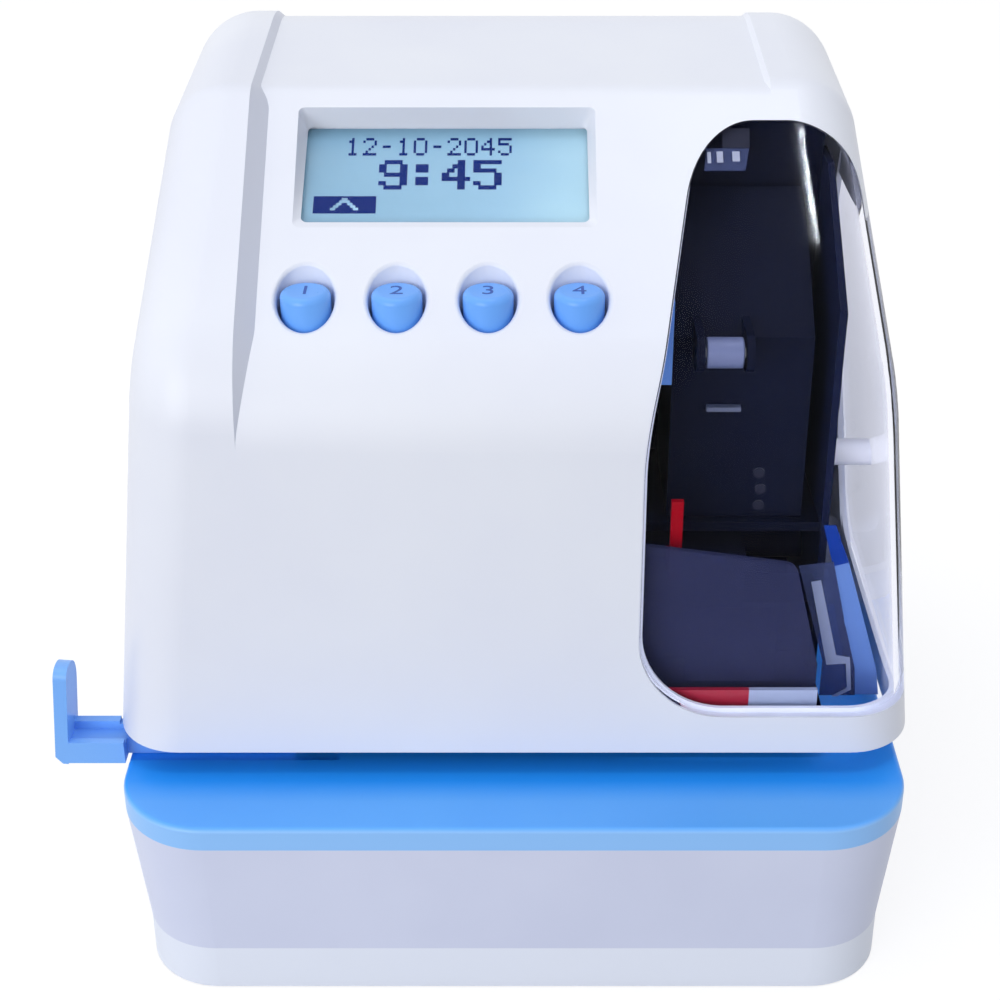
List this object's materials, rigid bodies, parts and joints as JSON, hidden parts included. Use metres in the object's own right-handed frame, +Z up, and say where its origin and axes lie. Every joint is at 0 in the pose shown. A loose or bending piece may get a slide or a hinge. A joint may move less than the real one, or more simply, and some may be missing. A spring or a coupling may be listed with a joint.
{
  "type": "date and time stamp machine",
  "caption": "Desk machine that stamps date and time on a form pushed into its throat, with display, buttons, window and paper guide.",
  "frame": {"origin": "on the desk, under the middle of the base", "axes": "+X to the right as the user faces the machine, +Y to its back, +Z up"},
  "size_m": [0.1715, 0.1682, 0.1664],
  "materials": {
    "housing_plastic": "fine satin moulded plastic",
    "base_plastic": "fine satin moulded plastic",
    "blue_plastic": "satin moulded plastic",
    "guide_plastic": "satin, slightly translucent",
    "button_plastic": "glossy moulded plastic",
    "clear_plastic": "clear polycarbonate",
    "smoked_plastic": "smoked polycarbonate",
    "display_lens": "clear, hard coated",
    "display_glass": "liquid crystal behind glass",
    "white_plastic": "moulded plastic",
    "grey_plastic": "moulded plastic",
    "red_plastic": "moulded plastic",
    "tab_plastic": "moulded plastic",
    "black_plastic": "moulded plastic",
    "black_steel": "black coated sheet steel",
    "zinc_steel": "zinc plated",
    "bright_steel": "ground and polished",
    "aluminium": "machined",
    "brass": "machined",
    "rubber": "moulded rubber",
    "circuit_board": "glass fibre board with solder mask",
    "ribbon_cloth": "inked woven ribbon"
  },
  "bodies": {
    "case": {"backup_battery": "bright_steel", "base": "base_plastic", "base_plate": "zinc_steel", "base_screws": "zinc_steel", "board_screws": "zinc_steel", "board_spacers": "brass", "buzzer": "black_plastic", "carriage_motor": "zinc_steel", "cassette_latch": "grey_plastic", "cassette_tab": "tab_plastic", "chassis_posts": "aluminium", "chassis_screws": "zinc_steel", "deck_screws": "zinc_steel", "guide_shafts": "black_steel", "housing": "housing_plastic", "idler_axle": "bright_steel", "ink_ribbon": "ribbon_cloth", "inlet_pin": "bright_steel", "keypad_board": "circuit_board", "keypad_screws": "zinc_steel", "lcd_board": "circuit_board", "lcd_lens": "display_lens", "lcd_module": "display_glass", "left_side_plate": "black_steel", "main_board": "circuit_board", "paper_sensor": "black_plastic", "paper_table": "blue_plastic", "platen_pad": "rubber", "power_inlet": "black_plastic", "print_marker_grey": "grey_plastic", "print_marker_red": "red_plastic", "processor": "black_plastic", "rear_plate": "black_steel", "ribbon_bay": "black_plastic", "ribbon_cassette": "black_plastic", "right_side_plate": "black_steel", "rubber_feet": "rubber", "smoked_shield": "smoked_plastic", "tact_switches": "black_plastic", "throat_plate": "black_plastic", "timing_belt": "rubber"},
    "guide": {"paper_guide": "guide_plastic"},
    "carriage": {"print_carriage": "black_plastic", "print_head": "bright_steel", "position_pointer": "red_plastic"},
    "drive_wheel": {"drive_pulley": "aluminium", "motor_shaft": "bright_steel"},
    "idler_wheel": {"idler_pulley": "aluminium"},
    "knob": {"ribbon_knob": "grey_plastic", "knob_spindle": "bright_steel"},
    "cover": {"window_cover": "clear_plastic", "cover_catch": "white_plastic"},
    "key_1": {"button_1": "button_plastic"},
    "key_2": {"button_2": "button_plastic"},
    "key_3": {"button_3": "button_plastic"},
    "key_4": {"button_4": "button_plastic"}
  },
  "joints": [
    {"name": "paper_guide_slide", "type": "slide", "parent": "case", "child": "guide", "axis": [-1, 0, 0], "range_m": [-0.009, 0.012]},
    {"name": "carriage_slide", "type": "slide", "parent": "case", "child": "carriage", "axis": [1, 0, 0], "range_m": [-0.024, 0.01]},
    {"name": "drive_pulley_spin", "type": "hinge", "parent": "case", "child": "drive_wheel", "pos_m": [-0.048, -0.0115, 0.0678], "axis": [0, 1, 0], "range_deg": [-160, 70]},
    {"name": "idler_pulley_spin", "type": "hinge", "parent": "case", "child": "idler_wheel", "pos_m": [0.047, -0.0115, 0.0678], "axis": [0, 1, 0], "range_deg": [-160, 70]},
    {"name": "ribbon_knob_turn", "type": "hinge", "parent": "case", "child": "knob", "pos_m": [0.0394, -0.0445, 0.1228], "axis": [1, 0, 0], "continuous": true},
    {"name": "window_cover_slide", "type": "slide", "parent": "case", "child": "cover", "axis": [0, -1, 0], "range_m": [0, 0.03]},
    {"name": "button_1_press", "type": "slide", "parent": "case", "child": "key_1", "axis": [0, 0, -1], "range_m": [0, 0.0015], "stiffness_N_per_m": 300, "springref_m": -0.0006},
    {"name": "button_2_press", "type": "slide", "parent": "case", "child": "key_2", "axis": [0, 0, -1], "range_m": [0, 0.0015], "stiffness_N_per_m": 300, "springref_m": -0.0006},
    {"name": "button_3_press", "type": "slide", "parent": "case", "child": "key_3", "axis": [0, 0, -1], "range_m": [0, 0.0015], "stiffness_N_per_m": 300, "springref_m": -0.0006},
    {"name": "button_4_press", "type": "slide", "parent": "case", "child": "key_4", "axis": [0, 0, -1], "range_m": [0, 0.0015], "stiffness_N_per_m": 300, "springref_m": -0.0006}
  ],
  "couplings": [
    {"joint": "drive_pulley_spin", "follows": "carriage_slide", "rad_per_m": 102.04},
    {"joint": "idler_pulley_spin", "follows": "carriage_slide", "rad_per_m": 102.04}
  ]
}
